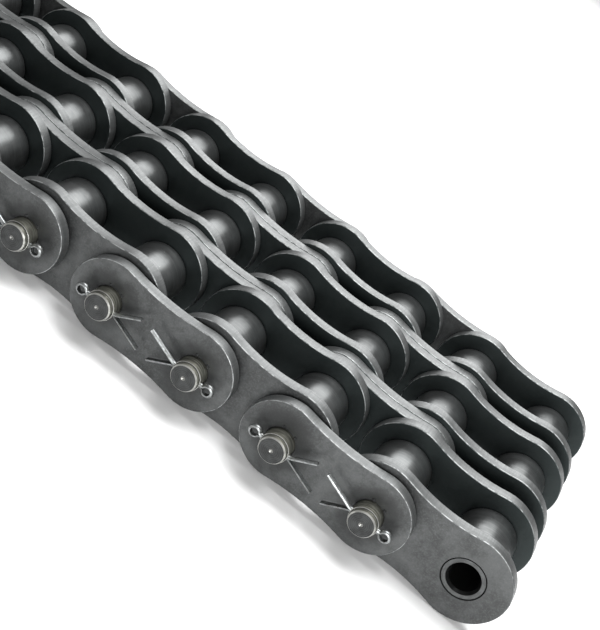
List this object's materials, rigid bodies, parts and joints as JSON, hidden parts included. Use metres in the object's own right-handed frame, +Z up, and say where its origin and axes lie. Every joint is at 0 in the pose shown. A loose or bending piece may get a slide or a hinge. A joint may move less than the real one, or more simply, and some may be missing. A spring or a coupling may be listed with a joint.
{
  "type": "roller chain",
  "caption": "Short length of heavy triplex roller chain with cottered pins, ending in a roller link at each end so that pin links can join it.",
  "frame": {"origin": "middle of the open bore at the near end of the chain, in the middle strand", "axes": "+X along the chain towards its near end, +Y along the pins from the cottered side to the headed side, +Z up from the surface it lies on"},
  "size_m": [0.3777, 0.1454, 0.0348],
  "materials": {
    "plate_steel": "dark grey phosphated steel plate with lighter punched edges",
    "roller_steel": "smooth dark satin case-hardened steel",
    "bush_steel": "dark satin case-hardened steel",
    "pin_steel": "dark turned steel",
    "cotter_wire": "bright drawn half-round steel wire"
  },
  "bodies": {
    "roller_link_1": {"inner_plates_1": "plate_steel", "bushes_1": "bush_steel"},
    "roller_link_2": {"inner_plates_2": "plate_steel", "bushes_2": "bush_steel"},
    "roller_link_3": {"inner_plates_3": "plate_steel", "bushes_3": "bush_steel"},
    "roller_link_4": {"inner_plates_4": "plate_steel", "bushes_4": "bush_steel"},
    "roller_link_5": {"inner_plates_5": "plate_steel", "bushes_5": "bush_steel"},
    "pin_link_1": {"front_plate_1": "plate_steel", "middle_plates_1": "plate_steel", "back_plate_1": "plate_steel", "pins_1": "pin_steel", "cotters_1": "cotter_wire"},
    "pin_link_2": {"front_plate_2": "plate_steel", "middle_plates_2": "plate_steel", "back_plate_2": "plate_steel", "pins_2": "pin_steel", "cotters_2": "cotter_wire"},
    "pin_link_3": {"front_plate_3": "plate_steel", "middle_plates_3": "plate_steel", "back_plate_3": "plate_steel", "pins_3": "pin_steel", "cotters_3": "cotter_wire"},
    "pin_link_4": {"front_plate_4": "plate_steel", "middle_plates_4": "plate_steel", "back_plate_4": "plate_steel", "pins_4": "pin_steel", "cotters_4": "cotter_wire"},
    "roller_01_front": {"roller_01_front": "roller_steel"},
    "roller_01_middle": {"roller_01_middle": "roller_steel"},
    "roller_01_back": {"roller_01_back": "roller_steel"},
    "roller_02_front": {"roller_02_front": "roller_steel"},
    "roller_02_middle": {"roller_02_middle": "roller_steel"},
    "roller_02_back": {"roller_02_back": "roller_steel"},
    "roller_03_front": {"roller_03_front": "roller_steel"},
    "roller_03_middle": {"roller_03_middle": "roller_steel"},
    "roller_03_back": {"roller_03_back": "roller_steel"},
    "roller_04_front": {"roller_04_front": "roller_steel"},
    "roller_04_middle": {"roller_04_middle": "roller_steel"},
    "roller_04_back": {"roller_04_back": "roller_steel"},
    "roller_05_front": {"roller_05_front": "roller_steel"},
    "roller_05_middle": {"roller_05_middle": "roller_steel"},
    "roller_05_back": {"roller_05_back": "roller_steel"},
    "roller_06_front": {"roller_06_front": "roller_steel"},
    "roller_06_middle": {"roller_06_middle": "roller_steel"},
    "roller_06_back": {"roller_06_back": "roller_steel"},
    "roller_07_front": {"roller_07_front": "roller_steel"},
    "roller_07_middle": {"roller_07_middle": "roller_steel"},
    "roller_07_back": {"roller_07_back": "roller_steel"},
    "roller_08_front": {"roller_08_front": "roller_steel"},
    "roller_08_middle": {"roller_08_middle": "roller_steel"},
    "roller_08_back": {"roller_08_back": "roller_steel"},
    "roller_09_front": {"roller_09_front": "roller_steel"},
    "roller_09_middle": {"roller_09_middle": "roller_steel"},
    "roller_09_back": {"roller_09_back": "roller_steel"},
    "roller_10_front": {"roller_10_front": "roller_steel"},
    "roller_10_middle": {"roller_10_middle": "roller_steel"},
    "roller_10_back": {"roller_10_back": "roller_steel"}
  },
  "joints": [
    {"name": "bend_1", "type": "hinge", "parent": "pin_link_1", "child": "roller_link_1", "pos_m": [-0.0381, 0, 0], "axis": [0, 1, 0], "range_deg": [-35, 35]},
    {"name": "bend_2", "type": "hinge", "parent": "roller_link_2", "child": "pin_link_1", "pos_m": [-0.0762, 0, 0], "axis": [0, 1, 0], "range_deg": [-35, 35]},
    {"name": "bend_3", "type": "hinge", "parent": "pin_link_2", "child": "roller_link_2", "pos_m": [-0.1143, 0, 0], "axis": [0, 1, 0], "range_deg": [-35, 35]},
    {"name": "bend_4", "type": "hinge", "parent": "roller_link_3", "child": "pin_link_2", "pos_m": [-0.1524, 0, 0], "axis": [0, 1, 0], "range_deg": [-35, 35]},
    {"name": "bend_5", "type": "hinge", "parent": "roller_link_3", "child": "pin_link_3", "pos_m": [-0.1905, 0, 0], "axis": [0, 1, 0], "range_deg": [-35, 35]},
    {"name": "bend_6", "type": "hinge", "parent": "pin_link_3", "child": "roller_link_4", "pos_m": [-0.2286, 0, 0], "axis": [0, 1, 0], "range_deg": [-35, 35]},
    {"name": "bend_7", "type": "hinge", "parent": "roller_link_4", "child": "pin_link_4", "pos_m": [-0.2667, 0, 0], "axis": [0, 1, 0], "range_deg": [-35, 35]},
    {"name": "bend_8", "type": "hinge", "parent": "pin_link_4", "child": "roller_link_5", "pos_m": [-0.3048, 0, 0], "axis": [0, 1, 0], "range_deg": [-35, 35]},
    {"name": "spin_01_front", "type": "hinge", "parent": "roller_link_1", "child": "roller_01_front", "pos_m": [0, -0.04544, 0], "axis": [0, 1, 0], "continuous": true},
    {"name": "spin_01_middle", "type": "hinge", "parent": "roller_link_1", "child": "roller_01_middle", "pos_m": [0, 0, 0], "axis": [0, 1, 0], "continuous": true},
    {"name": "spin_01_back", "type": "hinge", "parent": "roller_link_1", "child": "roller_01_back", "pos_m": [0, 0.04544, 0], "axis": [0, 1, 0], "continuous": true},
    {"name": "spin_02_front", "type": "hinge", "parent": "roller_link_1", "child": "roller_02_front", "pos_m": [-0.0381, -0.04544, 0], "axis": [0, 1, 0], "continuous": true},
    {"name": "spin_02_middle", "type": "hinge", "parent": "roller_link_1", "child": "roller_02_middle", "pos_m": [-0.0381, 0, 0], "axis": [0, 1, 0], "continuous": true},
    {"name": "spin_02_back", "type": "hinge", "parent": "roller_link_1", "child": "roller_02_back", "pos_m": [-0.0381, 0.04544, 0], "axis": [0, 1, 0], "continuous": true},
    {"name": "spin_03_front", "type": "hinge", "parent": "roller_link_2", "child": "roller_03_front", "pos_m": [-0.0762, -0.04544, 0], "axis": [0, 1, 0], "continuous": true},
    {"name": "spin_03_middle", "type": "hinge", "parent": "roller_link_2", "child": "roller_03_middle", "pos_m": [-0.0762, 0, 0], "axis": [0, 1, 0], "continuous": true},
    {"name": "spin_03_back", "type": "hinge", "parent": "roller_link_2", "child": "roller_03_back", "pos_m": [-0.0762, 0.04544, 0], "axis": [0, 1, 0], "continuous": true},
    {"name": "spin_04_front", "type": "hinge", "parent": "roller_link_2", "child": "roller_04_front", "pos_m": [-0.1143, -0.04544, 0], "axis": [0, 1, 0], "continuous": true},
    {"name": "spin_04_middle", "type": "hinge", "parent": "roller_link_2", "child": "roller_04_middle", "pos_m": [-0.1143, 0, 0], "axis": [0, 1, 0], "continuous": true},
    {"name": "spin_04_back", "type": "hinge", "parent": "roller_link_2", "child": "roller_04_back", "pos_m": [-0.1143, 0.04544, 0], "axis": [0, 1, 0], "continuous": true},
    {"name": "spin_05_front", "type": "hinge", "parent": "roller_link_3", "child": "roller_05_front", "pos_m": [-0.1524, -0.04544, 0], "axis": [0, 1, 0], "continuous": true},
    {"name": "spin_05_middle", "type": "hinge", "parent": "roller_link_3", "child": "roller_05_middle", "pos_m": [-0.1524, 0, 0], "axis": [0, 1, 0], "continuous": true},
    {"name": "spin_05_back", "type": "hinge", "parent": "roller_link_3", "child": "roller_05_back", "pos_m": [-0.1524, 0.04544, 0], "axis": [0, 1, 0], "continuous": true},
    {"name": "spin_06_front", "type": "hinge", "parent": "roller_link_3", "child": "roller_06_front", "pos_m": [-0.1905, -0.04544, 0], "axis": [0, 1, 0], "continuous": true},
    {"name": "spin_06_middle", "type": "hinge", "parent": "roller_link_3", "child": "roller_06_middle", "pos_m": [-0.1905, 0, 0], "axis": [0, 1, 0], "continuous": true},
    {"name": "spin_06_back", "type": "hinge", "parent": "roller_link_3", "child": "roller_06_back", "pos_m": [-0.1905, 0.04544, 0], "axis": [0, 1, 0], "continuous": true},
    {"name": "spin_07_front", "type": "hinge", "parent": "roller_link_4", "child": "roller_07_front", "pos_m": [-0.2286, -0.04544, 0], "axis": [0, 1, 0], "continuous": true},
    {"name": "spin_07_middle", "type": "hinge", "parent": "roller_link_4", "child": "roller_07_middle", "pos_m": [-0.2286, 0, 0], "axis": [0, 1, 0], "continuous": true},
    {"name": "spin_07_back", "type": "hinge", "parent": "roller_link_4", "child": "roller_07_back", "pos_m": [-0.2286, 0.04544, 0], "axis": [0, 1, 0], "continuous": true},
    {"name": "spin_08_front", "type": "hinge", "parent": "roller_link_4", "child": "roller_08_front", "pos_m": [-0.2667, -0.04544, 0], "axis": [0, 1, 0], "continuous": true},
    {"name": "spin_08_middle", "type": "hinge", "parent": "roller_link_4", "child": "roller_08_middle", "pos_m": [-0.2667, 0, 0], "axis": [0, 1, 0], "continuous": true},
    {"name": "spin_08_back", "type": "hinge", "parent": "roller_link_4", "child": "roller_08_back", "pos_m": [-0.2667, 0.04544, 0], "axis": [0, 1, 0], "continuous": true},
    {"name": "spin_09_front", "type": "hinge", "parent": "roller_link_5", "child": "roller_09_front", "pos_m": [-0.3048, -0.04544, 0], "axis": [0, 1, 0], "continuous": true},
    {"name": "spin_09_middle", "type": "hinge", "parent": "roller_link_5", "child": "roller_09_middle", "pos_m": [-0.3048, 0, 0], "axis": [0, 1, 0], "continuous": true},
    {"name": "spin_09_back", "type": "hinge", "parent": "roller_link_5", "child": "roller_09_back", "pos_m": [-0.3048, 0.04544, 0], "axis": [0, 1, 0], "continuous": true},
    {"name": "spin_10_front", "type": "hinge", "parent": "roller_link_5", "child": "roller_10_front", "pos_m": [-0.3429, -0.04544, 0], "axis": [0, 1, 0], "continuous": true},
    {"name": "spin_10_middle", "type": "hinge", "parent": "roller_link_5", "child": "roller_10_middle", "pos_m": [-0.3429, 0, 0], "axis": [0, 1, 0], "continuous": true},
    {"name": "spin_10_back", "type": "hinge", "parent": "roller_link_5", "child": "roller_10_back", "pos_m": [-0.3429, 0.04544, 0], "axis": [0, 1, 0], "continuous": true}
  ]
}
